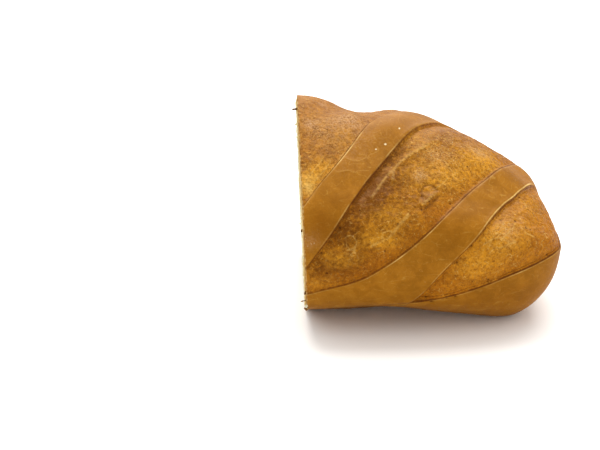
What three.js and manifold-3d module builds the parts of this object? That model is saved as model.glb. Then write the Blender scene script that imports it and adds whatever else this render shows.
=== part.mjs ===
// Half of a plump hearth-baked white loaf, cut across by a knife.
// The whole loaf is shaped first, with its slashes and its torn kissing side,
// flat where it stood on the oven floor, then one knife cut takes the other half away.
// Millimetres: X runs from the cut to the round end, -Y is the browned side
// with the slashes, +Y the torn side, and Z is up.
import * as THREE from 'three';
import { mergeVertices } from 'three/addons/utils/BufferGeometryUtils.js';
import Module from 'manifold-3d';

const wasm = await Module();
wasm.setup();

// ---- driving dimensions ----
const loafWidth = 139.5;
const loafHeight = 112.9;
const cutToTip = 136.9;
const ridgeBack = 1;
const tipForward = 23.2;
const tipHeight = 38.2;
const baseSink = 1.5;

// Heights of the widest lines at the cut, on the browned and the torn side.
const bellyFront = 49.1;
const bellyBack = 36.6;

// Squareness of the four quarters of the section: 2 is an ellipse, more is boxier.
const frontTopPower = 1.44;
const frontBasePower = 2.61;
const backTopPower = 1.96;
const backBasePower = 4.09;
// Power where the quarters turn at the belly and the ridge, and how far the turn goes.
const turnPower = 2.1;
const turnShare = 0.45;

// How each outline runs to the round end: level up to `flat`, then a rounded fall.
const topRun = { flat: 0, power: 1.8 };
const ridgeRun = { flat: 0, power: 3.2 };
const frontRun = { flat: 0, power: 3.2 };
const backRun = { flat: 0.1, power: 3.2 };
const baseRun = { flat: 0.802, power: 1.87 };

// The knife cut leans over the half loaf and runs a little askew.
const cutLean = THREE.MathUtils.degToRad(2.36);
const cutSkew = THREE.MathUtils.degToRad(1);

// ---- slashes: crease lines round the loaf ----
// Each line is a few places [x, angle]. The angle is counted in degrees round a
// fixed axis, 0 up, 90 to the browned side and -90 to the torn side. Where that
// axis comes out of the round end, the slashes fade.
const slashAxisHeight = 45;
const slashAxisClear = 8;
const slashAxisFade = 24;
const nearCutFold = [[0, 63.5], [18, 41], [36, 15], [46, 3], [60, -18]];
const middleLip = [[0, 91.5], [15, 75], [30, 54.5], [49, 28.5], [67, 2.5], [75, -11], [98, -40]];
const middleFold = [[0, 106], [28, 98.5], [46, 88.5], [62, 77.5], [79, 63], [98, 40.5], [109, 18.5], [115, -8]];
const endLip = [[56, 111.5], [72, 93.3], [88, 79], [103, 63], [112, 52], [121, 30], [128, -16]];
const endFold = [[56, 113.5], [80, 107.3], [107, 99.2], [127, 94], [136, 92]];

const skinStep = 1.1;
const lipDrop = 2.4;
const lipRun = 2.5;
const valleyReach = 7;
const foldRun = 2.2;
const rollHeight = 1.7;
const rollReach = 6;

// The hollow that crosses the ridge within the first slash, and the hump beside it.
const saddleDepth = 7.1;
const saddleOffset = 29.4;
const saddleSpread = 16.9;
const humpHeight = 1;
const humpSpread = 6;
const ridgeSpread = 50;

// The skin that stands proud where the ridge runs down to the round end.
const shoulderX = 121.4;
const shoulderAngle = -25;
const shoulderHeight = 2.7;
const shoulderSpread = 12;

// ---- torn kissing side ----
// The slashes fade from `crownEdge` to nothing at the torn edge, a ragged lip
// of crust. The tear narrows towards the round end.
const crownEdge = 20;
const tearTop = -52;
const tearBottom = -96;
const tearLength = 112;
const tearNarrowing = 16;
const tearEdge = 5;
const tearSink = 2.2;
const ragHeight = 2.2;
const ragLengths = [7.3, 3.1];
const tearLumpLength = 31;
const tearLumpAngle = 13;
const tearLumpHeight = 2.4;
const notchAngle = -66;
const notchDepth = 7.5;
const notchSpread = 13;
const notchLength = 24;

// ---- base ----
const archMiddle = 36.2;
const archLength = 37.1;
const archLift = 6;
const archAngle = 132;
const archSpread = 16;

// ---- unevenness of the dough ----
// Low rises and hollows: [x, angle round the slash axis, height, reach along, reach round].
const swells = [
  [34, -5, -2.8, 11, 22], [132.5, 62, -1.4, 7, 9], [104, 138, 1.5, 13, 12],
  [49, 147, -1.2, 14, 12], [3, 133, -1.2, 12, 14], [134.5, 86, 1.1, 8, 8], [130, -20, 1.4, 6, 7]
];
const waveHeight = 0.25;
const waveFloor = 32;
const waveLengths = [47, 31, 23];

// ---- mesh ----
const ringCount = 112;
const sideCount = 88;
const knifeClearance = 0.4;

const browned = new THREE.MeshStandardMaterial({ color: 0xb9793f, roughness: 0.7, metalness: 0 });

function smooth(from, to, value) {
  return THREE.MathUtils.smoothstep(value, from, to);
}

function bell(distance, spread) {
  return Math.exp(-((distance / spread) ** 2));
}

// Part of an outline's reach that is left at s, from 1 at the cut to 0 at the tip.
function runOut(run, s) {
  const fallen = Math.max(0, (s - run.flat) / (1 - run.flat));
  return Math.max(0, 1 - fallen ** run.power) ** (1 / run.power);
}

// Reach of a unit superellipse quarter along (across, up), which needn't be a unit
// vector. It turns evenly at the belly, and at the ridge if it has one.
function quarterReach(across, up, power, hasRidge) {
  const share = up / (across + up);
  const fromBelly = smooth(0, turnShare, share);
  const fromRidge = hasRidge ? smooth(0, turnShare, 1 - share) : 1;
  const p = THREE.MathUtils.lerp(turnPower, power, fromBelly * fromRidge);
  return (across ** p + up ** p) ** (-1 / p);
}

// The plain swelling form, for a direction on the unit sphere.
function doughPoint(direction) {
  const s = Math.min(1, Math.abs(direction.x));
  if (s > 0.99999) {
    return new THREE.Vector3(Math.sign(direction.x) * cutToTip, -tipForward, tipHeight);
  }
  const across = Math.abs(direction.y);
  const up = Math.abs(direction.z);
  const isFront = direction.y < 0;
  const isTop = direction.z >= 0;

  const ridge = runOut(ridgeRun, s);
  const middleY = -tipForward + (tipForward + (isTop ? ridgeBack : 0)) * ridge;
  const frontY = -tipForward - (loafWidth / 2 - tipForward) * runOut(frontRun, s);
  const backY = -tipForward + (loafWidth / 2 + tipForward) * runOut(backRun, s);
  const bellyZ = tipHeight + ((isFront ? bellyFront : bellyBack) - tipHeight) * ridge;
  const topZ = tipHeight + (loafHeight - tipHeight) * runOut(topRun, s);
  const baseZ = -baseSink + (tipHeight + baseSink) * (1 - runOut(baseRun, s));

  const frontPower = isTop ? frontTopPower : frontBasePower;
  const backPower = isTop ? backTopPower : backBasePower;
  const reach = quarterReach(across, up, isFront ? frontPower : backPower, isTop);
  const sideY = isFront ? frontY : backY;
  const farZ = isTop ? topZ : baseZ;
  return new THREE.Vector3(
    direction.x * cutToTip,
    middleY + across * reach * (sideY - middleY),
    bellyZ + up * reach * (farZ - bellyZ)
  );
}

function angleRound(point) {
  return THREE.MathUtils.radToDeg(Math.atan2(-point.y, point.z - slashAxisHeight));
}

// Height of a smooth curve through the given places, straight beyond its ends.
function curveAt(places, x) {
  const last = places.length - 1;
  const slopeAt = (i) => {
    const [fromX, fromY] = places[Math.max(0, i - 1)];
    const [toX, toY] = places[Math.min(last, i + 1)];
    return (toY - fromY) / (toX - fromX);
  };
  if (x <= places[0][0]) return places[0][1] + slopeAt(0) * (x - places[0][0]);
  if (x >= places[last][0]) return places[last][1] + slopeAt(last) * (x - places[last][0]);
  const next = places.findIndex(([placeX]) => placeX > x);
  const [x0, y0] = places[next - 1];
  const [x1, y1] = places[next];
  const t = (x - x0) / (x1 - x0);
  const rise = y0 * (1 + 2 * t) * (1 - t) ** 2 + y1 * t * t * (3 - 2 * t);
  const lean = slopeAt(next - 1) * t * (1 - t) ** 2 - slopeAt(next) * t * t * (1 - t);
  return rise + lean * (x1 - x0);
}

// Length on the crust of one degree round the slash axis.
function mmPerDegree(point) {
  return THREE.MathUtils.degToRad(Math.hypot(point.y, point.z - slashAxisHeight));
}

// Distance in mm below a crease line, negative above it.
function belowCrease(crease, point) {
  const lineAngle = curveAt(crease, point.x);
  const slope = (curveAt(crease, point.x + 1) - lineAngle) * mmPerDegree(point);
  return ((angleRound(point) - lineAngle) * mmPerDegree(point)) / Math.hypot(1, slope);
}

// Crust that opened between two skins: it drops at the lip above, swells
// into a roll and tucks in at the fold below.
function openedCrust(fromLip, fromFold) {
  const opened = smooth(0, lipRun, fromLip) * smooth(0, foldRun, fromFold);
  const valley = lipDrop * bell(fromLip, valleyReach);
  const roll = rollHeight * (1 - bell(fromFold, rollReach));
  return opened * (roll - valley - skinStep);
}

function slashRelief(point) {
  const nearFold = -belowCrease(nearCutFold, point);
  const nearSlash = openedCrust(saddleOffset * 2, nearFold);
  const middleSlash = openedCrust(belowCrease(middleLip, point), -belowCrease(middleFold, point));
  const endSlash = openedCrust(belowCrease(endLip, point), -belowCrease(endFold, point));
  const saddle = saddleDepth * bell(nearFold - saddleOffset, saddleSpread);
  const hump = humpHeight * bell(nearFold + humpSpread, humpSpread);
  const angle = angleRound(point);
  const slashed = smooth(tearTop, crownEdge, angle) * (nearSlash + middleSlash + endSlash);
  const swollen = bell(angle, ridgeSpread) * (hump - saddle);
  return slashed + swollen;
}

// Everything round the slash axis fades where the axis comes out.
function clearOfAxis(point) {
  return smooth(slashAxisClear, slashAxisFade, Math.hypot(point.y, point.z - slashAxisHeight));
}

function shoulderRelief(point) {
  const round = (angleRound(point) - shoulderAngle) * mmPerDegree(point);
  return shoulderHeight * bell(Math.hypot(point.x - shoulderX, round), shoulderSpread);
}

function swellRelief(point) {
  const heights = swells.map(([x, angle, height, along, round]) => {
    const roundAway = ((angleRound(point) - angle) * mmPerDegree(point)) / round;
    return height * bell(Math.hypot((point.x - x) / along, roundAway), 1);
  });
  return heights.reduce((sum, height) => sum + height, 0);
}

// The torn side: sunk under the crust's ragged edge, lumpy, and folded in at the cut.
function tearRelief(point) {
  const angle = angleRound(point);
  const along = Math.max(0, point.x) / tearLength;
  const narrowed = tearNarrowing * along ** 3;
  const [longRag, shortRag] = ragLengths;
  const rag = ragHeight * (Math.sin(point.x / longRag) + 0.5 * Math.sin(point.x / shortRag));
  const top = tearTop - narrowed + rag;
  const bottom = tearBottom + narrowed;
  const belowEdge = 1 - smooth(top - tearEdge, top, angle);
  const aboveBase = smooth(bottom, bottom + 2 * tearEdge, angle);
  const torn = belowEdge * aboveBase * (1 - smooth(0.9, 1, along));
  const lumps = tearLumpHeight * Math.sin((point.x / tearLumpLength) * Math.PI - angle / tearLumpAngle);
  const nearCut = bell(point.x, notchLength);
  const notch = notchDepth * bell(angle - notchAngle, notchSpread) * nearCut;
  return torn * (lumps * (1 - nearCut) - tearSink) - notch;
}

// The front edge of the base stands clear of the oven floor for a stretch.
function archRelief(point) {
  return archLift * bell(point.x - archMiddle, archLength) * bell(angleRound(point) - archAngle, archSpread);
}

function waves(point) {
  const [first, second, third] = waveLengths;
  const along = Math.sin(point.x / first + point.z / second);
  const across = Math.cos(point.y / second - point.x / third);
  return waveHeight * (along + across) * smooth(0, waveFloor, point.z);
}

// The knife's X at a point's place on the cut.
function knifeX(point) {
  return -point.z * Math.tan(cutLean) - point.y * Math.tan(cutSkew);
}

// X of a mesh point, moved a little where the knife would shave a sliver beside it.
function keepOffKnife(point) {
  const past = point.x - knifeX(point);
  return Math.abs(past) < knifeClearance ? knifeX(point) - knifeClearance : point.x;
}

function shapeDough() {
  const ball = new THREE.SphereGeometry(1, sideCount, ringCount);
  ball.rotateZ(-Math.PI / 2);
  ball.deleteAttribute('normal');
  ball.deleteAttribute('uv');
  const dough = mergeVertices(ball, 1e-5);
  const position = dough.getAttribute('position');
  const point = new THREE.Vector3();
  for (let i = 0; i < position.count; i++) {
    point.copy(doughPoint(point.fromBufferAttribute(position, i)));
    position.setXYZ(i, point.x, point.y, point.z);
  }
  dough.computeVertexNormals();
  const normals = dough.getAttribute('normal');
  const normal = new THREE.Vector3();
  for (let i = 0; i < position.count; i++) {
    point.fromBufferAttribute(position, i);
    normal.fromBufferAttribute(normals, i);
    const round = slashRelief(point) + shoulderRelief(point) + swellRelief(point) + tearRelief(point);
    const relief = clearOfAxis(point) * round + waves(point);
    const lift = archRelief(point);
    point.addScaledVector(normal, relief);
    point.z = Math.max(0, point.z + lift);
    position.setXYZ(i, keepOffKnife(point), point.y, point.z);
  }
  return dough;
}

function toSolid(geometry) {
  const bare = geometry.clone();
  bare.deleteAttribute('normal');
  bare.deleteAttribute('uv');
  const merged = mergeVertices(bare, 1e-4);
  return new wasm.Manifold(new wasm.Mesh({
    numProp: 3,
    vertProperties: new Float32Array(merged.getAttribute('position').array),
    triVerts: new Uint32Array(merged.getIndex().array)
  }));
}

function toGeometry(solid) {
  const mesh = solid.getMesh();
  const geometry = new THREE.BufferGeometry();
  geometry.setAttribute('position', new THREE.BufferAttribute(mesh.vertProperties, 3));
  geometry.setIndex(new THREE.BufferAttribute(mesh.triVerts, 1));
  return geometry;
}

// A block on the far side of the knife, with its face on the leaning cut.
function knifeBlock() {
  const size = 3 * cutToTip;
  const block = new THREE.BoxGeometry(size, size, size);
  block.translate(-size / 2, 0, 0);
  block.rotateY(-cutLean);
  block.rotateZ(cutSkew);
  return block;
}

function halfLoaf() {
  const solid = toSolid(shapeDough()).subtract(toSolid(knifeBlock()));
  const geometry = toGeometry(solid);
  geometry.computeBoundingBox();
  const middle = geometry.boundingBox.getCenter(new THREE.Vector3());
  geometry.translate(-middle.x, -middle.y, -geometry.boundingBox.min.z);
  return geometry;
}

const loaf = new THREE.Mesh(halfLoaf(), browned);
loaf.name = 'loaf';

const halfLoafModel = new THREE.Group();
halfLoafModel.add(loaf);

export default halfLoafModel;
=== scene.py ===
from math import pi, radians

import bmesh
import bpy
import numpy as np
from mathutils import Matrix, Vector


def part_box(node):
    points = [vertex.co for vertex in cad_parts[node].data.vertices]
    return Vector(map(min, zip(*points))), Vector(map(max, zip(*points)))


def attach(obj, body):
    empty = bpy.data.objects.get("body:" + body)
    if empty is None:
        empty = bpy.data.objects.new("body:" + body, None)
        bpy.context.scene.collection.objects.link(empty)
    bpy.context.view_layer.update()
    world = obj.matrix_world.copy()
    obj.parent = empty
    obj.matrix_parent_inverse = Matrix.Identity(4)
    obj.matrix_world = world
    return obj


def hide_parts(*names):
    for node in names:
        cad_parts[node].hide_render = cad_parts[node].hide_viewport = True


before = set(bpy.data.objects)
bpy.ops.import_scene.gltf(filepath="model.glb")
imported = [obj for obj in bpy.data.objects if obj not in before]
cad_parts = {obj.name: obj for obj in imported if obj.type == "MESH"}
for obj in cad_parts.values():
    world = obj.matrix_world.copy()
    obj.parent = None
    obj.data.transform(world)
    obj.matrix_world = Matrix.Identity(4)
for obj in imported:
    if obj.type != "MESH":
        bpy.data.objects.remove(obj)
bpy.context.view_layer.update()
metre = 0.001  # the form is worked out in mm
boxLow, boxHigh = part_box("loaf")
print("frame loaded")

# the camera first: the photograph's viewing angle
cameraSet = {"place": (-0.0682, -0.7321, 0.3073), "down": 20, "lens": 84}
cameraData = bpy.data.cameras.new("viewCamera")
cameraData.lens = cameraSet["lens"]
cameraData.clip_start = 0.01
viewCamera = bpy.data.objects.new("viewCamera", cameraData)
viewCamera.location = cameraSet["place"]
viewCamera.rotation_euler = (radians(90 - cameraSet["down"]), 0, 0)
bpy.context.scene.collection.objects.link(viewCamera)
bpy.context.scene.camera = viewCamera

# form of the loaf, the same as the solid's
# X = 0 at the cut, Y = 0 mid width, Z = 0 the floor; the front is the browned side, -Y
dough = {
    "width": 139.5, "height": 112.9, "cutToTip": 136.9, "ridgeBack": 1.0,
    "tipForward": 23.2, "tipHeight": 38.2, "baseSink": 1.5,
    "bellyFront": 49.1, "bellyBack": 36.6,
    "frontTop": 1.44, "frontBase": 2.61, "backTop": 1.96, "backBase": 4.09,
    "turnPower": 2.1, "turnShare": 0.45,
    "topRun": (0, 1.8), "ridgeRun": (0, 3.2), "frontRun": (0, 3.2),
    "backRun": (0.1, 3.2), "baseRun": (0.802, 1.87),
    "cutLean": 2.36, "cutSkew": 1.0, "middleY": -0.18, "faceCentre": (0.0, 50.0),
}
slashes = {
    "axisHeight": 45, "axisClear": 8, "axisFade": 24,
    "nearFold": ((0, 63.5), (18, 41), (36, 15), (46, 3), (60, -18)),
    "middleLip": ((0, 91.5), (15, 75), (30, 54.5), (49, 28.5), (67, 2.5), (75, -11), (98, -40)),
    "middleFold": ((0, 106), (28, 98.5), (46, 88.5), (62, 77.5), (79, 63), (98, 40.5),
                   (109, 18.5), (115, -8)),
    "endLip": ((56, 111.5), (72, 93.3), (88, 79), (103, 63), (112, 52), (121, 30), (128, -16)),
    "endFold": ((56, 113.5), (80, 107.3), (107, 99.2), (127, 94), (136, 92)),
    "skinStep": 1.1, "lipDrop": 2.4, "lipRun": 1.7, "valleyReach": 7, "foldRun": 1.6,
    "rollHeight": 1.7, "rollReach": 6, "saddleDepth": 7.1, "saddleOffset": 29.4,
    "saddleSpread": 16.9, "humpHeight": 1, "humpSpread": 6, "ridgeSpread": 50,
    "shoulder": (121.4, -25, 2.7, 12), "crownEdge": 20,
}
tear = {
    "top": -52, "bottom": -96, "length": 112, "narrowing": 16, "edge": 5, "sink": 2.2,
    "rag": 2.2, "ragLengths": (7.3, 3.1), "lumpLength": 31, "lumpAngle": 13, "lumpHeight": 2.4,
    "notchAngle": -66, "notchDepth": 7.5, "notchSpread": 13, "notchLength": 24,
}
arch = {"middle": 36.2, "length": 37.1, "lift": 6, "angle": 132, "spread": 16}
# low rises and hollows of the dough: x, angle, height, reach along, reach round
swells = (
    (34, -5, -2.8, 11, 22), (132.5, 62, -1.4, 7, 9), (104, 138, 1.5, 13, 12),
    (49, 147, -1.2, 14, 12), (3, 133, -1.2, 12, 14), (134.5, 86, 1.1, 8, 8), (130, -20, 1.4, 6, 7),
)


def smooth(low, high, value):
    t = np.clip((value - low) / (high - low), 0, 1)
    return t * t * (3 - 2 * t)


def bell(distance, spread):
    return np.exp(-((distance / spread) ** 2))


def runOut(run, s):
    flat, power = run
    fallen = np.maximum(0, (s - flat) / (1 - flat))
    return np.maximum(0, 1 - fallen ** power) ** (1 / power)


def quarterReach(across, up, power, hasRidge):
    share = up / (across + up)
    fromRidge = np.where(hasRidge, smooth(0, dough["turnShare"], 1 - share), 1)
    turned = smooth(0, dough["turnShare"], share) * fromRidge
    p = dough["turnPower"] + (power - dough["turnPower"]) * turned
    return (across ** p + up ** p) ** (-1 / p)


def doughForm(s, around):
    # s runs from 0 at the cut to 1 at the tip, around is 0 up and pi / 2 to the front
    d = dough
    across, up = np.abs(np.sin(around)), np.abs(np.cos(around))
    front, top = np.sin(around) > 0, np.cos(around) >= 0
    size = np.minimum(1, np.abs(s))
    ridge = runOut(d["ridgeRun"], size)
    middleY = -d["tipForward"] + (d["tipForward"] + np.where(top, d["ridgeBack"], 0)) * ridge
    frontY = -d["tipForward"] - (d["width"] / 2 - d["tipForward"]) * runOut(d["frontRun"], size)
    backY = -d["tipForward"] + (d["width"] / 2 + d["tipForward"]) * runOut(d["backRun"], size)
    belly = np.where(front, d["bellyFront"], d["bellyBack"])
    bellyZ = d["tipHeight"] + (belly - d["tipHeight"]) * ridge
    topZ = d["tipHeight"] + (d["height"] - d["tipHeight"]) * runOut(d["topRun"], size)
    baseZ = -d["baseSink"] + (d["tipHeight"] + d["baseSink"]) * (1 - runOut(d["baseRun"], size))
    power = np.where(front, np.where(top, d["frontTop"], d["frontBase"]),
                     np.where(top, d["backTop"], d["backBase"]))
    reach = quarterReach(across, up, power, top)
    y = middleY + across * reach * (np.where(front, frontY, backY) - middleY)
    z = bellyZ + up * reach * (np.where(top, topZ, baseZ) - bellyZ)
    return np.stack([s * d["cutToTip"] + 0 * y, y, z], axis=-1)


def angleRound(p):
    return np.degrees(np.arctan2(-p[..., 1], p[..., 2] - slashes["axisHeight"]))


def fromAxis(p):
    return np.hypot(p[..., 1], p[..., 2] - slashes["axisHeight"])


def curveAt(places, x):
    xs, ys = np.array(places, float).T
    here, last = np.arange(len(xs)), len(xs) - 1
    before, after = np.maximum(here - 1, 0), np.minimum(here + 1, last)
    slopes = (ys[after] - ys[before]) / (xs[after] - xs[before])
    i = np.clip(np.searchsorted(xs, x, side="right") - 1, 0, len(xs) - 2)
    step = xs[i + 1] - xs[i]
    t = np.clip((x - xs[i]) / step, 0, 1)
    bend = slopes[i] * t * (1 - t) ** 2 - slopes[i + 1] * t * t * (1 - t)
    inside = ys[i] * (1 + 2 * t) * (1 - t) ** 2 + ys[i + 1] * t * t * (3 - 2 * t) + bend * step
    return inside + slopes[0] * np.minimum(0, x - xs[0]) + slopes[-1] * np.maximum(0, x - xs[-1])


def belowCrease(name, p):
    x, perDegree = p[..., 0], np.radians(fromAxis(p))
    line = curveAt(slashes[name], x)
    slope = (curveAt(slashes[name], x + 1) - line) * perDegree
    return (angleRound(p) - line) * perDegree / np.hypot(1, slope)


def openedCrust(fromLip, fromFold):
    s = slashes
    opened = smooth(0, s["lipRun"], fromLip) * smooth(0, s["foldRun"], fromFold)
    valley = s["lipDrop"] * bell(fromLip, s["valleyReach"])
    roll = s["rollHeight"] * (1 - bell(fromFold, s["rollReach"]))
    return opened * (roll - valley - s["skinStep"])


def knifeX(p):
    lean, skew = np.tan(radians(dough["cutLean"])), np.tan(radians(dough["cutSkew"]))
    return -p[..., 2] * lean - p[..., 1] * skew


noiseTable = np.random.default_rng(5).permutation(256)
noiseSlopes = np.random.default_rng(6).normal(size=(256, 3))
noiseSlopes /= np.linalg.norm(noiseSlopes, axis=1, keepdims=True)


def latticeNoise(q):
    # smooth noise from about -1 to 1, one bump to a unit
    cell = np.floor(q).astype(int)
    part = q - cell
    weight = part ** 3 * (part * (part * 6 - 15) + 10)
    total = np.zeros(q.shape[:-1])
    for corner in range(8):
        step = np.array([corner & 1, corner >> 1 & 1, corner >> 2 & 1])
        c = (cell + step) & 255
        picked = noiseTable[(noiseTable[c[..., 0]] + c[..., 1]) & 255]
        slope = noiseTable[(picked + c[..., 2]) & 255]
        share = np.prod(np.where(step == 1, weight, 1 - weight), axis=-1)
        total += share * np.sum((part - step) * noiseSlopes[slope], axis=-1)
    return total * 1.6


def noiseAt(p, size, seed=0.0, octaves=1):
    # mixed noise from about -1 to 1, with bumps of that size in mm
    total, strength = 0.0, 1.0
    for octave in range(octaves):
        total = total + strength * latticeNoise(p / size * 2.1 ** octave + seed + 17.3 * octave)
        strength *= 0.5
    return total


# crust: the loaf's skin with its relief, its thickness on the cut, and a hollow for the crumb
crust = {
    "around": 430, "along": 198, "frontShare": 0.7, "rimShares": (0.1, 0.4, 0.75, 1.0),
    "wallDepths": (2.0, 6.0), "wallTaper": 0.9, "backShares": (0.7, 0.35),
    "rimTop": 2.8, "rimBase": 1.5, "nearCutRows": 14,
    "rimRagged": 0.7, "setBack": 0.8, "lineWander": 0.14, "zoneLumps": 0.38, "zoneGrain": 0.2,
    "wrinkleHeight": 0.35, "bandLumps": 0.16, "bandGrain": 0.03, "lipCurl": 0.16,
    "lipGroove": 0.2, "threadHeight": 0.22, "ridgeHeight": 0.7, "holeDepth": 0.8,
    "blisterHeight": 0.5, "crackDepth": 0.4, "shredHeight": 1.5, "tearRagged": 3.2,
    "creaseDepth": 2.2, "edgeRough": 0.2,
}
# what shows in certain places of the crust, given as x and the angle round the loaf
marks = {
    "threads": (
        ((-1.2, 52.5), (3.5, 47.5), (9.2, 40.5)), ((2.4, 55.0), (8.1, 48.9), (13.3, 41.8)),
        ((-1.2, 56.1), (1.9, 54.5), (6.0, 53.9)), ((17.5, 40.1), (19.1, 37.6), (20.7, 35.3)),
        ((21.8, 34.2), (23.9, 32.0), (25.5, 29.7)),
        ((20.1, 38.4), (23.7, 40.4), (27.9, 40.8), (32.6, 38.0)),
        ((27.9, 36.7), (31.6, 37.0), (33.6, 39.7)),
        ((13.8, 45.0), (16.9, 47.5), (22.1, 46.3), (26.7, 47.7)),
        ((74.8, 47.4), (70.2, 53.1), (65.9, 55.8)),
        ((69.1, 34.7), (73.3, 36.6), (76.8, 41.5), (77.9, 49.0)),
        ((21.1, 83.7), (24.6, 83.6), (27.2, 86.7)), ((25.6, 81.9), (25.2, 84.1), (23.2, 85.8)),
        ((39.3, 79.5), (39.3, 76.6), (42.3, 75.8), (44.9, 76.6)),
        ((93.8, 86.7), (96.9, 84.0), (100.0, 84.2), (104.2, 82.6), (108.6, 82.0)),
        ((100.0, 80.6), (103.9, 78.1), (106.9, 76.0), (108.4, 73.6)),
        ((111.4, 75.8), (113.8, 78.8), (118.2, 81.1)), ((91.2, 82.7), (94.9, 80.5), (98.5, 79.7)),
        ((57.4, 46.1), (60.5, 48.9), (63.2, 47.4)),
        ((84.2, 18.9), (88.4, 21.5), (92.8, 21.4), (97.4, 20.8)),
        ((20.6, 78.6), (22.3, 77.6), (24.6, 78.0), (26.2, 80.2), (25.5, 82.6), (22.8, 83.2),
         (21.0, 81.6), (20.6, 78.6)),
    ),
    # ridges: raised lines whose pale colour is a painted highlight on their crests
    "ridges": (
        ((34.1, 61.0), (38.4, 55.0), (42.2, 49.0), (45.0, 45.3)),
        ((45.3, 51.0), (46.0, 45.3), (49.4, 39.9), (54.3, 35.1), (59.7, 30.8), (65.2, 26.5)),
        ((33.7, 81.9), (37.8, 80.3), (41.3, 79.1), (44.4, 77.0), (48.5, 72.9), (52.7, 69.5)),
        ((60.2, 64.3), (63.5, 61.6), (67.3, 58.1)),
    ),
    # cracks: a dark arc, and a painted shadow line under a roll of crust
    "cracksAndShadow": (
        ((60.4, 61.0), (59.8, 57.5), (61.2, 54.0), (65.0, 52.6), (68.3, 55.7)),
        ((61.6, 66.2), (65.2, 63.4), (68.8, 59.6)),
    ),
    # x, angle, reach along, reach round, strength
    "gold": (
        (101, 79, 15, 11, 0.6), (88, 92, 12, 9, 0.55), (66, 46, 16, 13, 0.5), (38, 80, 11, 4, 0.7),
        (92, 29, 10, 10, 0.75), (104, 24, 9, 10, 0.4), (12, 20, 16, 20, 0.2), (58, 22, 10, 9, 0.3),
        (118, 55, 9, 12, 0.35), (44, 70, 12, 6, 0.4),
        (2, 52, 8, 6, 0.9), (9, 44, 9, 5, 0.6), (80, 45, 10, 8, 0.35), (22, 28, 8, 8, 0.3),
        (6, 100, 8, 5, 0.4), (18, 88, 8, 4, 0.4),
    ),
    "red": (
        (30, 64, 9, 7, 1.0), (38, 52, 8, 7, 1.0), (20, 77, 8, 8, 0.9), (8, 97, 9, 7, 0.8),
        (50, 51, 5, 6, 0.5), (0, 45, 5, 5, 0.6), (62, 60, 5, 4, 0.5), (24, 92, 14, 6, 0.6),
        (33, 62, 7, 8, 1.0), (44, 38, 6, 6, 0.6), (51, 33, 5, 4, 0.6), (112, 50, 15, 14, 0.22),
        (106, 82, 16, 12, 0.15), (76, 92, 8, 8, 0.5), (90, 100, 12, 6, 0.4),
    ),
    "cream": ((0.5, 56, 3.5, 3.5, 0.75), (3, 50, 6, 3, 0.3)),
    "flecky": (
        (67, 29, 9, 8, 1.0), (76, 18, 6, 6, 0.8), (94, 17, 5, 5, 1.0), (60, 47, 5, 4, 0.7),
        (6, 18, 6, 6, 0.7), (22, 12, 8, 7, 0.8), (79, 36, 5, 5, 0.5), (3, 80, 4, 5, 0.8),
        (100, 79, 8, 6, 0.5), (104, 74, 6, 5, 0.5), (24, 86, 4, 4, 0.5),
    ),
    # paleLip: where the painted highlight on the lips is stronger
    "paleLip": (
        (96, 74, 7, 5, 0.45), (103, 66, 7, 6, 0.75), (111, 55, 8, 6, 0.9), (121, 32, 9, 9, 1.0),
        (16.5, 41, 6, 4, 0.8), (23, 34, 5, 4, 1.0), (30, 27, 4, 4, 0.8), (49, 88, 7, 4, 0.6),
        (64, 76, 8, 4, 0.6), (110, 97, 9, 5, 0.7), (128, 90, 6, 5, 0.5), (20, 69, 5, 4, 0.3),
        (46, 33, 4, 4, 0.5),
    ),
    # dust: patches of flour dust; their colour is also used for painted sheen where the crust faces
    # up
    "dustAndSheen": (
        (16, 18, 22, 24, 0.4), (3, 80, 4, 4, 0.3), (3, 16.5, 4, 4, 0.6), (10, -7, 4, 4, 0.5),
        (24, 15, 9, 8, 0.45),
        (60, 47.5, 4, 3, 0.5), (70, 33, 8, 7, 0.3), (92, 20, 7, 4, 0.45), (105, 78, 5, 4, 0.3),
    ),
    "dusk": (
        (75, 76, 12, 12, 0.5), (112, 112, 14, 8, 0.5), (9, 73, 9, 9, 1.0), (20, 62, 8, 5, 0.5),
        (90, 108, 14, 8, 0.3), 
    ),
    # x, angle, radius
    "specks": ((42.3, 29.5, 0.75), (37.5, 32.9, 0.6), (50.2, 18.2, 0.6)),
    "holes": (
        (109.2, 72.1, 0.9), (101.9, 70.4, 0.8), (85.5, 82.9, 0.9), (78.1, 90.8, 0.8),
        (86.4, 100.5, 0.7), (94.9, 101.4, 0.6), (78.2, 108.6, 0.8), (66.0, 112.0, 1.2),
        (127.2, 92.5, 0.7), (74.0, 109.4, 0.7), (59.5, 66.5, 0.6), (75.0, 62.5, 0.7),
    ),
}


def evenStations(count):
    # shares of the length, from the tip to the cut, an even distance apart over the crust
    s = 1 - np.linspace(0, 1, 4000) ** 2
    outlines = [doughForm(s, np.full_like(s, a)) for a in (0.3, pi / 2, -pi / 2)]
    walked = sum(np.concatenate([[0], np.cumsum(np.linalg.norm(np.diff(o, axis=0), axis=1))])
                 for o in outlines)
    return np.interp(np.linspace(0, walked[-1], count + 1), walked, s)


def evenRound(count):
    # directions round the section, an even distance apart but closer together on the browned side
    a = np.linspace(-pi, pi, 8001)
    ring = doughForm(np.full_like(a, 0.3), a)
    steps = np.linalg.norm(np.diff(ring, axis=0), axis=1)
    steps *= 1 + crust["frontShare"] * smooth(-0.6, 0, a[1:]) * (1 - smooth(2.0, 2.5, a[1:]))
    walked = np.concatenate([[0], np.cumsum(steps)])
    return np.interp(np.arange(count) / count * walked[-1], walked, a)


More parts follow.
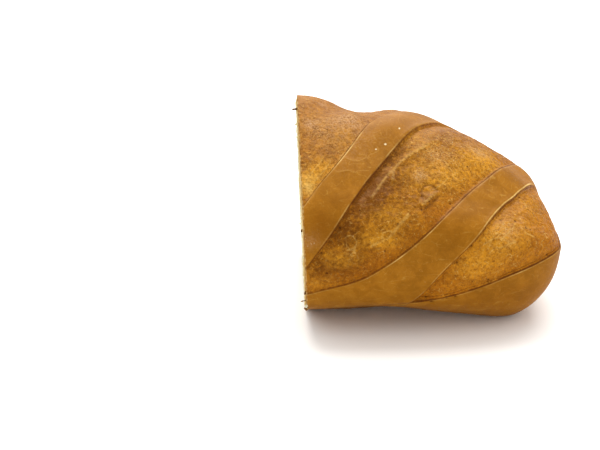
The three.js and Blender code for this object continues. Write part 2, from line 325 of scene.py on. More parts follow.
def surfaceNormals(p):
    alongStep = np.gradient(p, axis=0)
    roundStep = np.roll(p, -1, axis=1) - np.roll(p, 1, axis=1)
    normals = np.cross(alongStep, roundStep)
    length = np.linalg.norm(normals, axis=-1, keepdims=True)
    normals = normals / np.maximum(length, 1e-9)
    centre = np.array([0, 0, slashes["axisHeight"]])
    if np.sum(normals[5:-5] * (p[5:-5] - centre)) < 0:
        normals = -normals
    tipNormal = normals[1].mean(axis=0)
    normals[0] = tipNormal / np.linalg.norm(tipNormal)
    return normals


def lineDistance(p, lines):
    # distance in mm over the crust to the nearest of some lines
    x, angle, perDegree = p[..., 0], angleRound(p), np.radians(fromAxis(p))
    nearest = np.full(x.shape, 40.0)
    for places in lines:
        for (x0, angle0), (x1, angle1) in zip(places, places[1:]):
            stepX, stepRound = x1 - x0, (angle1 - angle0) * perDegree
            offX, offRound = x - x0, (angle - angle0) * perDegree
            t = np.clip((offX * stepX + offRound * stepRound) / (stepX ** 2 + stepRound ** 2), 0, 1)
            nearest = np.minimum(nearest, np.hypot(offX - t * stepX, offRound - t * stepRound))
    return nearest


def patches(p, places):
    angle, perDegree = angleRound(p), np.radians(fromAxis(p))
    total = np.zeros(p.shape[:-1])
    for x, turn, along, around, strength in places:
        away = np.hypot((p[..., 0] - x) / along, (angle - turn) * perDegree / around)
        total += strength * bell(away, 1)
    return total


def crustFields(p):
    # distances in mm from each slash line, and the share of each kind of surface
    c = crust
    wander = c["lineWander"] * (noiseAt(p, 11, 11.3) + 0.35 * noiseAt(p, 3.2, 5.1))
    fields = {
        "nearFold": wander - belowCrease("nearFold", p),
        "middleLip": belowCrease("middleLip", p) + wander,
        "middleFold": wander - belowCrease("middleFold", p),
        "endLip": belowCrease("endLip", p) + wander,
        "endFold": wander - belowCrease("endFold", p),
    }
    angle = angleRound(p)
    along = np.maximum(0, p[..., 0]) / tear["length"]
    narrowed = tear["narrowing"] * along ** 3
    longRag, shortRag = tear["ragLengths"]
    rag = tear["rag"] * (np.sin(p[..., 0] / longRag) + 0.5 * np.sin(p[..., 0] / shortRag))
    rag = 0.6 * rag + c["tearRagged"] * noiseAt(p, 9, 2.2, 3)
    perDegree = np.radians(fromAxis(p))
    fields["belowTear"] = (tear["top"] - narrowed + rag - angle) * perDegree
    paleAngle = angle + 9 * noiseAt(p, 14, 8.8, 3) + narrowed * -0.6
    paleEnd = smooth(tear["bottom"] - 14, tear["bottom"] + 8, paleAngle)
    fields["pale"] = paleEnd * (1 - smooth(0.86, 1.02, along + 0.05 * noiseAt(p, 8, 4.8, 2)))
    torn = smooth(0, tear["edge"], tear["top"] - narrowed + rag - angle)
    lowEnd = tear["bottom"] + narrowed
    torn = torn * smooth(lowEnd, lowEnd + 2 * tear["edge"], angle)
    fields["torn"] = torn * (1 - smooth(0.9, 1, along))
    fields["slashed"] = smooth(tear["top"], slashes["crownEdge"], angle) * smooth(
        slashes["axisClear"], slashes["axisFade"], fromAxis(p))
    warp = 1.6 * np.stack([noiseAt(p, 5, seed, 2) for seed in (31.1, 37.7, 41.3)], axis=-1)
    warped, slight = p + warp, p + 0.1 * warp
    fields["thread"] = lineDistance(slight, marks["threads"])
    fields["ridge"] = lineDistance(slight, marks["ridges"])
    fields["crackAndShadow"] = lineDistance(slight, marks["cracksAndShadow"])
    fields["fromCut"] = p[..., 0] - knifeX(p)
    for name in ("gold", "red", "cream", "flecky", "paleLip", "dustAndSheen", "dusk"):
        fields[name] = patches(warped, marks[name])
    for name in ("specks", "holes"):
        fields[name] = patches(p, [(x, turn, size, size, 1) for x, turn, size in marks[name]])
    return fields


def broadRelief(p, f):
    s = slashes
    angle, perDegree = angleRound(p), np.radians(fromAxis(p))
    near = openedCrust(s["saddleOffset"] * 2, f["nearFold"])
    middle = openedCrust(f["middleLip"], f["middleFold"])
    end = openedCrust(f["endLip"], f["endFold"])
    saddle = s["saddleDepth"] * bell(f["nearFold"] - s["saddleOffset"], s["saddleSpread"])
    hump = s["humpHeight"] * bell(f["nearFold"] + s["humpSpread"], s["humpSpread"])
    clear = smooth(s["axisClear"], s["axisFade"], fromAxis(p))
    slashed = smooth(tear["top"], s["crownEdge"], angle) * (near + middle + end)
    shoulderX, shoulderAngle, shoulderHeight, shoulderSpread = s["shoulder"]
    shoulder = shoulderHeight * bell(
        np.hypot(p[..., 0] - shoulderX, (angle - shoulderAngle) * perDegree), shoulderSpread)
    lumpTurn = p[..., 0] / tear["lumpLength"] * pi - angle / tear["lumpAngle"]
    lumps = tear["lumpHeight"] * np.sin(lumpTurn)
    nearCut = bell(p[..., 0], tear["notchLength"])
    notch = tear["notchDepth"] * bell(angle - tear["notchAngle"], tear["notchSpread"]) * nearCut
    torn = f["torn"] * (lumps * (1 - nearCut) - tear["sink"]) - notch
    swollen = bell(angle, s["ridgeSpread"]) * (hump - saddle)
    for x, turn, height, reachAlong, reachRound in swells:
        away = np.hypot((p[..., 0] - x) / reachAlong, (angle - turn) * perDegree / reachRound)
        swollen = swollen + height * bell(away, 1)
    x, y, z = p[..., 0], p[..., 1], p[..., 2]
    waves = 0.25 * (np.sin(x / 47 + z / 31) + np.cos(y / 31 - x / 23))
    return clear * (slashed + swollen + shoulder + torn) + waves * smooth(0, 32, z)


def fineRelief(p, f):
    c = crust
    inMiddle = np.minimum(f["middleLip"], f["middleFold"])
    inEnd = np.minimum(f["endLip"], f["endFold"])
    inZone = np.maximum(np.maximum(f["nearFold"], inMiddle), inEnd)
    zone = smooth(-0.5, 1.2, inZone) * f["slashed"]
    deepZone = smooth(3, 12, inZone) * f["slashed"]
    ridges = (1 - np.abs(noiseAt(p, 11, 7.7, 2))) ** 6
    blisters = np.maximum(0, noiseAt(p, 4.5, 21.5, 2) - 0.2)
    lumps = c["zoneLumps"] * noiseAt(p, 9, 1.9, 3) + c["zoneGrain"] * noiseAt(p, 2.0, 8.4, 2)
    skin = c["bandLumps"] * noiseAt(p, 19, 4.2, 2) + c["bandGrain"] * noiseAt(p, 2.6, 6.6, 2)
    shreds = noiseAt(p * np.array([1, 0.6, 0.45]), 5, 13.1, 3)
    creases = (1 - np.abs(noiseAt(p * np.array([1, 0.7, 0.55]), 13, 19.3, 2))) ** 8
    torn = (c["shredHeight"] * shreds - c["creaseDepth"] * creases) * f["torn"]
    lips, folds = np.zeros_like(zone), np.zeros_like(zone)
    for name in ("middleLip", "endLip"):
        lips += c["lipCurl"] * bell(f[name] + 0.8, 1.0) - c["lipGroove"] * bell(f[name] - 1.2, 1.0)
    for name in ("nearFold", "middleFold", "endFold"):
        folds -= c["lipGroove"] * bell(f[name] - 0.5, 0.9)
    placed = c["threadHeight"] * bell(f["thread"], 0.8) + c["ridgeHeight"] * bell(f["ridge"], 1.7)
    placed = placed - c["crackDepth"] * bell(f["crackAndShadow"], 0.9) - c["holeDepth"] * f["holes"]
    swollen = c["wrinkleHeight"] * ridges + c["blisterHeight"] * blisters
    relief = skin * (1 - zone) + zone * lumps + deepZone * swollen
    return relief * (1 - f["torn"]) + f["slashed"] * (lips + folds) + placed + torn


def crustShape():
    c, d = crust, dough
    around = evenRound(c["around"])
    stations = evenStations(c["along"])[:, None]
    cutX = np.zeros(c["around"])
    for step in range(4):
        cutX = knifeX(doughForm(cutX / d["cutToTip"], around))
    sCut = (cutX / d["cutToTip"])[None, :]
    plain = doughForm(sCut + (1 - sCut) * stations, around[None, :] + 0 * sCut)
    normals = surfaceNormals(plain)
    fields = crustFields(plain)
    relief = broadRelief(plain, fields) + fineRelief(plain, fields)
    lift = arch["lift"] * bell(plain[..., 0] - arch["middle"], arch["length"]) * bell(
        angleRound(plain) - arch["angle"], arch["spread"])
    p = plain + normals * relief[..., None]
    p[..., 2] = np.maximum(0, p[..., 2] + lift)
    rows = c["nearCutRows"]
    near = smooth(0, 1, (np.arange(c["along"] + 1) - (c["along"] - rows)) / rows)[:, None]
    p[..., 0] += near * (knifeX(p[-1]) + c["setBack"] - p[-1, :, 0])[None, :]
    return p, fields


def insetOutline(outline, width):
    ahead = np.roll(outline, -3, axis=0) - np.roll(outline, 3, axis=0)
    inward = np.stack([-ahead[:, 1], ahead[:, 0]], axis=1)
    inward /= np.linalg.norm(inward, axis=1, keepdims=True)
    if np.sum(inward * (outline.mean(axis=0) - outline)) < 0:
        inward = -inward
    return outline + inward * np.reshape(width, (-1, 1))


def onKnife(outline, depth=0.0):
    p = np.stack([np.zeros(len(outline)), outline[:, 0], outline[:, 1]], axis=1)
    p[:, 0] = knifeX(p) + depth
    return p


def makeCrust():
    c = crust
    outer, fields = crustShape()
    outline = outer[-1][:, 1:]
    edge = onKnife(outline)
    thick = c["rimBase"] + (c["rimTop"] - c["rimBase"]) * smooth(5, 70, outline[:, 1])
    thick = thick + c["rimRagged"] * noiseAt(edge, 4, 3.3, 2)
    rings, inwards = list(outer[1:]), [np.zeros(c["around"])] * c["along"]
    for share in c["rimShares"]:
        ring = onKnife(insetOutline(outline, thick * share))
        rough = c["edgeRough"] * noiseAt(ring, 1.7, 9.9)
        ring[:, 0] += c["setBack"] * (1 - share) ** 0.7 + 0.12 + rough
        rings.append(ring)
        inwards.append(thick * share)
    inner = insetOutline(outline, thick)
    for depth in c["wallDepths"]:
        rings.append(onKnife(insetOutline(outline, thick + c["wallTaper"] * depth), depth))
        inwards.append(thick + depth)
    centre, hollow = np.array(dough["faceCentre"]), c["wallDepths"][-1] + 1
    for share in c["backShares"]:
        rings.append(onKnife(centre + (inner - centre) * share, hollow))
        inwards.append(thick + 10)
    rings = np.array(rings)
    total = len(rings) + 1

    # a flat grid, rolled up round the loaf and drawn together at the tip and in the hollow
    bm = bmesh.new()
    bm.loops.layers.uv.new("OFBake")
    bmesh.ops.create_grid(bm, x_segments=c["around"], y_segments=total, size=1, calc_uvs=True)
    places = np.array([v.co for v in bm.verts])
    ringOf = np.rint((places[:, 1] + 1) / 2 * total).astype(int)
    columnOf = np.rint((places[:, 0] + 1) / 2 * c["around"]).astype(int) % c["around"]
    at = np.clip(ringOf - 1, 0, len(rings) - 1)
    shaped = rings[at, columnOf]
    shaped[ringOf == 0] = outer[0, 0]
    shaped[ringOf == total] = onKnife(centre[None, :], hollow)[0]
    shaped = (shaped - middle) * metre
    onOuter = np.minimum(at + 1, c["along"])
    onOuter[ringOf == 0] = 0
    layers = {name: values[onOuter, columnOf] for name, values in fields.items()}
    layers["fromSkin"] = np.array(inwards)[at, columnOf]
    setFields(bm, shaped, layers)
    bmesh.ops.remove_doubles(bm, verts=bm.verts, dist=1e-7)
    bmesh.ops.recalc_face_normals(bm, faces=bm.faces)
    return newPiece("crust", bm), inner


def newPiece(name, bm):
    mesh = bpy.data.meshes.new(name)
    bm.to_mesh(mesh)
    bm.free()
    mesh.polygons.foreach_set("use_smooth", [True] * len(mesh.polygons))
    piece = bpy.data.objects.new(name, mesh)
    bpy.context.scene.collection.objects.link(piece)
    return piece


def setFields(bm, places, fields):
    # moves the vertices to their places and writes the measures that the materials read
    layers = [bm.verts.layers.float.new(name) for name in fields]
    rows = np.clip(np.array(list(fields.values())), -40, 40).T.tolist()
    for v, place, row in zip(bm.verts, places.tolist(), rows):
        v.co = place
        for layer, value in zip(layers, row):
            v[layer] = value


# crumb: the face of the cut, a slab pitted with pores that sits in the crust's hollow
crumb = {
    "columns": 330, "rows": 262, "tuck": 0.3, "recess": 0.25, "depth": 4.0,
    "poreDepth": 1.3, "fineDepth": 0.12, "waveDepth": 0.5, "tornHeight": 0.9,
    "holeCount": 420, "holeSize": (0.5, 1.7), "holeShrink": (0.4, 1.0), "holeStretch": (1.2, 2.6),
    "holeSpread": (0.02, 0.93), "holeTurn": 0.35, "holeDepth": 1.6, "holePower": 0.7,
    "streakFrom": 52, "streakRun": 30, "backScale": 0.92, "seed": 11,
}


def makeCrumb(rim):
    c = crumb
    centre = np.array(dough["faceCentre"])
    bm = bmesh.new()
    bm.loops.layers.uv.new("OFBake")
    bmesh.ops.create_grid(bm, x_segments=c["columns"], y_segments=c["rows"], size=1, calc_uvs=True)
    places = np.array([v.co for v in bm.verts])
    u, v = places[:, 0], places[:, 1]
    flatY, flatZ = u * np.sqrt(1 - v * v / 2), v * np.sqrt(1 - u * u / 2)
    share, turn = np.hypot(flatY, flatZ), np.arctan2(flatZ, flatY)
    outline = insetOutline(rim, -c["tuck"]) - centre
    rimTurn = np.arctan2(outline[:, 1], outline[:, 0])
    order = np.argsort(rimTurn)
    reach = np.interp(turn, rimTurn[order], np.hypot(*outline[order].T), period=2 * pi)
    y = centre[0] + share * reach * np.cos(turn)
    z = centre[1] + share * reach * np.sin(turn)
    p = np.stack([np.zeros_like(y), y, z], axis=1)
    inward = (1 - share) * reach

    # pores: small and even below, drawn out along the dome above the middle
    even = noiseAt(p, 1.7, 4.4, 2)
    wavy = inward + 2.5 * noiseAt(p, 16, 7.1, 2)
    along = np.stack([wavy / 1.4, turn * np.maximum(share, 0.3) * 60 / 6, 0 * y], axis=1)
    drawn = noiseAt(along, 1.0, 2.9, 2)
    upper = smooth(c["streakFrom"], c["streakFrom"] + c["streakRun"], z + 0.35 * y)
    pores = np.maximum(0, -(even * (1 - upper) + 1.15 * drawn * upper) - 0.02)
    torn = np.maximum(0, noiseAt(along, 1.7, 5.7, 3) - 0.35) * upper
    depth = c["poreDepth"] * pores + c["fineDepth"] * noiseAt(p, 1.0, 6.1)
    depth = depth + c["waveDepth"] * noiseAt(p, 12, 5.5, 2) - c["tornHeight"] * torn
    random = np.random.default_rng(c["seed"])
    for hole in range(c["holeCount"]):
        away, where = np.sqrt(random.uniform(*c["holeSpread"])), random.uniform(-pi, pi)
        far = np.interp(where, rimTurn[order], np.hypot(*outline[order].T), period=2 * pi)
        y0 = centre[0] + away * far * np.cos(where)
        z0 = centre[1] + away * far * np.sin(where)
        size = random.uniform(*c["holeSize"]) * random.uniform(*c["holeShrink"])
        stretch = random.uniform(*c["holeStretch"])
        lean = np.arctan2(-(y0 - centre[0]) / 70, 1.0) + random.normal(0, c["holeTurn"])
        acrossHole = (y - y0) * np.cos(lean) + (z - z0) * np.sin(lean)
        upHole = -(y - y0) * np.sin(lean) + (z - z0) * np.cos(lean)
        inside = np.hypot(acrossHole / stretch, upHole) / size
        depth += c["holeDepth"] * size / 2 * np.maximum(0, 1 - inside ** 2) ** c["holePower"]
    edge = smooth(0, 1.0, inward)
    depth = depth * edge + c["recess"] * (1 - edge) + 0.5 * (1 - smooth(0, 0.35, inward))
    p[:, 0] = knifeX(p) + depth
    setFields(bm, (p - middle) * metre, {"pore": depth, "inward": inward})

    # a tapered wall and a plain back close the slab
    edges = [e for e in bm.edges if e.is_boundary]
    for push in (c["depth"], 0.0):
        made = bmesh.ops.extrude_edge_only(bm, edges=edges)["geom"]
        back = [g for g in made if isinstance(g, bmesh.types.BMVert)]
        edges = [g for g in made if isinstance(g, bmesh.types.BMEdge) and g.is_boundary]
        bmesh.ops.translate(bm, verts=back, vec=(push * metre, 0, 0))
        if push:
            toHub = ((middle[1:] - centre) * metre).tolist()
            bmesh.ops.scale(bm, verts=back, vec=(1, c["backScale"], c["backScale"]),
                            space=Matrix.Translation((0, *toHub)))
    place = (onKnife(centre[None, :], c["depth"] + 0.5)[0] - middle) * metre
    bmesh.ops.pointmerge(bm, verts=back, merge_co=place.tolist())
    bmesh.ops.recalc_face_normals(bm, faces=bm.faces)
    return newPiece("crumb", bm)


# scraps left by the knife, half sunk in the face of the cut: crumbs, and flakes of browned crust
# each by y and z on the cut, length, width, thickness, turn on the cut and lean from its normal
scraps = {
    "crumbBits": (
        (-62.3, 17.0, 2.2, 1.6, 1.5, 20, 60), (-68.5, 47.5, 2.1, 1.5, 1.3, -30, 70),
        (-59.0, 66.0, 1.6, 1.3, 1.0, 45, 60), (-20.0, 97.5, 1.6, 1.3, 1.0, 5, 70),
        (36.0, 88.0, 1.7, 1.2, 1.0, 15, 70), (56.0, 22.0, 1.8, 1.2, 1.1, 0, 65),
    ),
    "crustFlakes": (
        (-59.5, 15.5, 3.2, 1.7, 0.6, 30, 50), (-62.8, 21.5, 5.5, 0.8, 0.5, 8, 30),
        (-56.0, 11.0, 2.4, 1.3, 0.6, -40, 80), (-64.5, 27.0, 2.2, 1.1, 0.5, 60, 70),
        (-65.5, 62.0, 2.3, 1.1, 0.5, 40, 70), (-3.0, 108.6, 5.4, 2.4, 0.8, 0, 15),
    ),
    "rough": 0.45, "grain": 1.0, "reach": 0.9, "out": 0.2, "fromRim": 6,
}


def makeScraps(name, carriers):
    ground = np.concatenate([np.array([v.co for v in piece.data.vertices]) for piece in carriers])
    ground = ground / metre + middle
    bm = bmesh.new()
    for y, z, length, width, thickness, turn, lean in scraps[name]:
        away = np.hypot(ground[:, 1] - y, ground[:, 2] - z)
        near = ground[away <= max(scraps["reach"], away.min())]
        foot = near[np.argmin(near[:, 0])] - middle - np.array([scraps["out"], 0, 0])
        half = [side * metre / 2 for side in (length, width, thickness)]
        placed = (Matrix.Translation(foot * metre) @ Matrix.Rotation(radians(turn), 4, "X")
                  @ Matrix.Rotation(radians(lean), 4, "Z") @ Matrix.Diagonal((*half, 1)))
        bmesh.ops.create_icosphere(bm, subdivisions=3, radius=1, matrix=placed)
    bm.normal_update()
    places = np.array([v.co for v in bm.verts]) / metre
    normals = np.array([v.normal for v in bm.verts])
    bumps = scraps["rough"] * noiseAt(places, scraps["grain"], 3.7, 2)
    shaped = (places + normals * bumps[:, None]) * metre
    setFields(bm, shaped, {"pore": 0 * bumps, "inward": 0 * bumps + scraps["fromRim"]})
    bmesh.ops.recalc_face_normals(bm, faces=bm.faces)
    return newPiece(name, bm)


# node helpers
def startMaterial(name):
    material = bpy.data.materials.new(name)
    material.use_nodes = True
    tree = material.node_tree
    shader = tree.nodes["Principled BSDF"]
    coords = addNode(tree, "ShaderNodeTexCoord").outputs["Object"]
    inMm = addNode(tree, "ShaderNodeVectorMath", {0: coords, 1: (1000,) * 3}, operation="MULTIPLY")
    return material, tree, shader, inMm.outputs[0]


def addNode(tree, kind, inputs=None, **settings):
    made = tree.nodes.new(kind)
    for key, value in settings.items():
        setattr(made, key, value)
    for key, value in (inputs or {}).items():
        if isinstance(value, bpy.types.NodeSocket):
            tree.links.new(value, made.inputs[key])
        else:
            made.inputs[key].default_value = value
    return made


def calc(tree, operation, *values):
    return addNode(tree, "ShaderNodeMath", dict(enumerate(values)), operation=operation).outputs[0]


def wired(material, tree, shader, colour, height, specular, rough):
    # links colour, fine relief in mm and roughness; what is even all over is set on the shader
    bump = addNode(tree, "ShaderNodeBump", {"Strength": 1.0, "Distance": metre, "Height": height})
    tree.links.new(colour, shader.inputs["Base Color"])
    tree.links.new(bump.outputs[0], shader.inputs["Normal"])
    if isinstance(rough, bpy.types.NodeSocket):
        tree.links.new(rough, shader.inputs["Roughness"])
    else:
        shader.inputs["Roughness"].default_value = rough
    shader.inputs["Specular IOR Level"].default_value = specular
    return material


def times(tree, first, second):
    return calc(tree, "MULTIPLY", first, second)


def capped(tree, value, top=1.0):
    return calc(tree, "MINIMUM", value, top)


def most(tree, *values):
    found = values[0]
    for value in values[1:]:
        found = calc(tree, "MAXIMUM", found, value)
    return found


def swayed(tree, base, pattern, strength):
    # a base moved up and down by a pattern round 0.5
    return calc(tree, "MULTIPLY_ADD", calc(tree, "SUBTRACT", pattern, 0.5), strength, base)


def ease(tree, value, low, high, start=0.0, end=1.0):
    inputs = {"Value": value, "From Min": low, "From Max": high, "To Min": start, "To Max": end}
    made = addNode(tree, "ShaderNodeMapRange", inputs, interpolation_type="SMOOTHSTEP")
    return made.outputs["Result"]


def mixColour(tree, share, first, second, blend="MIX"):
    def full(colour):
        return colour if isinstance(colour, bpy.types.NodeSocket) else (*colour, 1)
    inputs = {0: share, 6: full(first), 7: full(second)}
    return addNode(tree, "ShaderNodeMix", inputs, data_type="RGBA", blend_type=blend).outputs[2]


def noiseNode(tree, place, size, detail=2.0, roughness=0.55, distortion=0.0):
    inputs = {"Vector": place, "Scale": 1 / size, "Detail": detail, "Roughness": roughness,
              "Distortion": distortion}
    return addNode(tree, "ShaderNodeTexNoise", inputs).outputs["Fac"]


def stretchedPlace(tree, place, turn, scale):
    inputs = {"Vector": place, "Rotation": turn, "Scale": scale}
    return addNode(tree, "ShaderNodeMapping", inputs).outputs[0]


def bentPlace(tree, place, scale, reach):
    # places pushed about by a noise
    bent = addNode(tree, "ShaderNodeTexNoise", {"Vector": place, "Scale": scale, "Detail": 2.0})
    inputs = {0: bent.outputs["Color"], 1: (reach,) * 3, 2: place}
    return addNode(tree, "ShaderNodeVectorMath", inputs, operation="MULTIPLY_ADD").outputs[0]


def field(tree, name):
    return addNode(tree, "ShaderNodeAttribute", attribute_name=name).outputs["Fac"]


def spots(tree, place, size, radius, chance):
    # round spots in some cells of a Voronoi pattern; radius in parts of the cell size
    cells = addNode(tree, "ShaderNodeTexVoronoi", {"Vector": place, "Scale": 1 / size})
    picked = addNode(tree, "ShaderNodeSeparateColor", {0: cells.outputs["Color"]})
    spot = ease(tree, cells.outputs["Distance"], radius, radius * 0.4)
    return times(tree, spot, calc(tree, "LESS_THAN", picked.outputs[0], chance))


def lineAt(tree, distance, centre, width):
    off = calc(tree, "ABSOLUTE", calc(tree, "SUBTRACT", distance, centre))
    return ease(tree, off, width, width * 0.25)


def thinVeins(tree, place, size, width, detail=2.0, distortion=0.6):
    value = noiseNode(tree, place, size, detail, 0.55, distortion)
    return ease(tree, calc(tree, "ABSOLUTE", calc(tree, "SUBTRACT", value, 0.5)), width, 0.0)


# crust material
crustLook = {
    "bandDark": (0.25, 0.094, 0.004), "bandLight": (0.305, 0.119, 0.007),
    "zoneDark": (0.25, 0.078, 0.0025), "zoneLight": (0.43, 0.168, 0.008),
    "gold": (0.6, 0.265, 0.015), "red": (0.142, 0.042, 0.0012), "roll": (0.34, 0.108, 0.0045),
    "cream": (0.7, 0.42, 0.1), "dusk": (0.19, 0.062, 0.002),
    "pit": (0.05, 0.009, 0.002), "vein": (0.6, 0.35, 0.085),
    "hairline": (0.47, 0.25, 0.045),
    # the seam colour is painted shadow under the lips and painted shade in the folds; the lip
    # colour is a painted highlight on their edges
    "fleck": (0.78, 0.64, 0.38), "lipHighlight": (0.64, 0.41, 0.13), "seamShade": (0.1, 0.023, 0.002),
    # the dust colour is flour dust, and also painted sheen where the crust faces up
    "dustAndSheen": (0.5, 0.29, 0.15), "tornGold": (0.44, 0.235, 0.035),
    "tornPale": (0.54, 0.405, 0.145), "tornWhite": (0.62, 0.55, 0.31),
    # tornCreaseShade is painted shade in the torn side's creases; capShadowAndSpots is painted
    # shadow under the cap's edge and the colour of the torn side's dark spots
    "tornCreaseShade": (0.33, 0.18, 0.035), "capShadowAndSpots": (0.2, 0.075, 0.008),
    "base": (0.27, 0.12, 0.03), "baseLight": (0.405, 0.18, 0.045),
    # fringe: frayed crumb and a painted highlight along the cut edge
    "fringeAndHighlight": (0.7, 0.5, 0.2),
    "rimOuter": (0.19, 0.07, 0.008), "rimMiddle": (0.45, 0.24, 0.045),
    "rimInner": (0.6, 0.43, 0.17),
    "gloss": 0.045,
}


def coated(tree, colour, *coats):
    # the crust's colours laid on one over another, each by its own share
    for share, name in coats:
        colour = mixColour(tree, share, colour, crustLook[name])
    return colour


# lines by the slashes: name, distance from the slash line in mm, width, strength
slashLines = {
    # seams: painted shadow under the lips and painted shade in the folds
    "shadedSeams": (
        ("middleLip", 0.4, 0.55, 0.6), ("endLip", 0.5, 0.7, 0.65), ("middleFold", 0.4, 0.6, 0.7),
        ("endFold", 0.3, 0.55, 0.85), ("endFold", 1.5, 0.35, 0.45), ("nearFold", 0.3, 0.5, 0.35),
    ),
    # lips: painted highlight along the edges of the lips and folds
    "lips": (
        ("middleLip", -0.4, 0.5, 0.7), ("endLip", -0.4, 0.5, 1.0), ("middleFold", -0.4, 0.4, 0.8),
        ("endFold", -0.4, 0.45, 0.7), ("nearFold", -0.4, 0.45, 0.9),
    ),
}


def linesAt(tree, fields, lines):
    return most(tree, *(times(tree, lineAt(tree, fields[name], centre, width), weight)
                        for name, centre, width, weight in lines))


def crackle(tree, place, size, width):
    # thin lines between cells, as in a dried skin
    moved = bentPlace(tree, place, 0.7 / size, 1.6 * size)
    cells = addNode(tree, "ShaderNodeTexVoronoi", {"Vector": moved, "Scale": 1 / size},
                    feature="DISTANCE_TO_EDGE")
    return ease(tree, cells.outputs["Distance"], width, 0.0)


def crustMaterial():
    look = crustLook
    material, tree, shader, place = startMaterial("bakedCrust")
    f = {name: field(tree, name) for name in (
        "nearFold", "middleLip", "middleFold", "endLip", "endFold", "slashed", "torn", "belowTear",
        "fromSkin", "thread", "ridge", "crackAndShadow", "gold", "red", "cream", "flecky", "paleLip", "dustAndSheen",
        "dusk", "specks", "holes", "fromCut", "pale")}
    slashed = f["slashed"]
    middleZone = calc(tree, "MINIMUM", f["middleLip"], f["middleFold"])
    endZone = calc(tree, "MINIMUM", f["endLip"], f["endFold"])
    inZone = most(tree, f["nearFold"], middleZone, endZone)
    zone = times(tree, ease(tree, inZone, -0.25, 0.4), slashed)

    grain = noiseNode(tree, place, 0.6, 2, 0.65)
    grit = noiseNode(tree, place, 1.0, 2, 0.6)
    mottle = noiseNode(tree, place, 2.2, 3, 0.65, 0.3)
    cloud = noiseNode(tree, place, 7, 3, 0.6, 0.5)
    blotch = noiseNode(tree, place, 24, 2, 0.5)
    slanted = stretchedPlace(tree, place, (0.5, 0.3, 0.9), (1, 0.12, 1))
    upright = stretchedPlace(tree, place, (0.2, 1.1, 0.2), (0.12, 1, 1))
    crossed = stretchedPlace(tree, place, (0.9, -0.5, 2.2), (1, 0.12, 1))

    # skin between the slashes: smooth, with thin scratches and a fine slanting grain
    band = mixColour(tree, ease(tree, cloud, 0.35, 0.65), look["bandDark"], look["bandLight"])
    patchy = noiseNode(tree, place, 5, 2)
    scratches = most(
        tree,
        times(tree, thinVeins(tree, slanted, 3.6, 0.018, 0, 0), ease(tree, patchy, 0.48, 0.58)),
        times(tree, thinVeins(tree, upright, 4.2, 0.018, 0, 0), ease(tree, patchy, 0.52, 0.42)),
        times(tree, thinVeins(tree, crossed, 4.2, 0.016, 0, 0), ease(tree, cloud, 0.5, 0.6)))
    scratches = times(tree, scratches, ease(tree, slashed, 0, 1, 0.12, 0.38))
    dusky = capped(tree, times(tree, f["dusk"], 0.75), 0.8)
    band = coated(tree, band, (scratches, "hairline"), (dusky, "dusk"))
    grainPlace = stretchedPlace(tree, place, (0.5, 0.3, 0.9), (1, 0.3, 1))
    slantGrain = noiseNode(tree, grainPlace, 0.9, 2, 0.6)

    # opened crust: dappled, red in the valley, golden in the middle, veined; near the lips the red
    # is painted shade in the valley under the lip
    opened = mixColour(tree, ease(tree, cloud, 0.32, 0.68), look["zoneDark"], look["zoneLight"])
    # painted shade: the valley under each lip is drawn darker red
    lipValleyShade = most(tree, ease(tree, f["middleLip"], 12, 0.5), ease(tree, f["endLip"], 6, 0.5))
    redShare = calc(tree, "MULTIPLY_ADD", lipValleyShade, 0.5, f["red"])
    redShare = times(tree, redShare, ease(tree, mottle, 0.65, 0.35, 0.55, 1.0))
    redShare = capped(tree, redShare, 0.95)
    rollNear = ease(tree, calc(tree, "MINIMUM", f["middleFold"], f["endFold"]), 14, 3, 0, 0.5)
    goldShare = times(tree, f["gold"], ease(tree, mottle, 0.3, 0.6, 0.45, 1.0))
    goldShare = capped(tree, goldShare, 0.95)
    dapple = times(tree, ease(tree, grit, 0.5, 0.34), ease(tree, mottle, 0.6, 0.4, 0.05, 0.42))
    glints = times(tree, ease(tree, grit, 0.56, 0.68), ease(tree, mottle, 0.4, 0.6, 0.1, 0.4))
    glints = times(tree, glints, ease(tree, redShare, 0.1, 1, 1, 0.2))
    finePits = times(tree, spots(tree, place, 1.9, 0.24, 0.13), 0.7)
    pits = most(tree, spots(tree, place, 3.2, 0.19, 0.26), finePits)
    pits = times(tree, pits, ease(tree, cloud, 0.62, 0.42, 0.35, 1))
    strands = most(
        tree,
        times(tree, thinVeins(tree, place, 5.0, 0.022, 0, 1.6), ease(tree, patchy, 0.48, 0.56)),
        times(tree, thinVeins(tree, place, 3.4, 0.026, 0, 0.8), ease(tree, cloud, 0.52, 0.46)),
        times(tree, thinVeins(tree, crossed, 2.4, 0.026, 0, 0.6), ease(tree, patchy, 0.5, 0.42)))
    strands = times(tree, strands, ease(tree, mottle, 0.36, 0.5))
    strandShare = ease(tree, inZone, 0.5, 5, 0.3, 0.62)
    strandShare = times(tree, strandShare, ease(tree, redShare, 0, 1, 1, 0.4))
    fineWebs = times(tree, crackle(tree, place, 1.9, 0.07), 0.7)
    webs = most(tree, crackle(tree, place, 3.6, 0.05), fineWebs)
    webShare = calc(tree, "MULTIPLY_ADD", f["flecky"], 0.8, times(tree, f["gold"], 0.35))
    webShare = capped(tree, webShare, 0.8)
    webs = times(tree, webs, times(tree, webShare, ease(tree, grit, 0.35, 0.55)))
    opened = coated(
        tree, opened, (redShare, "red"), (rollNear, "roll"), (goldShare, "gold"), (dapple, "red"),
        (glints, "gold"), (times(tree, pits, 0.85), "pit"),
        (times(tree, strands, strandShare), "vein"), (webs, "vein"))
    colour = mixColour(tree, zone, band, opened)
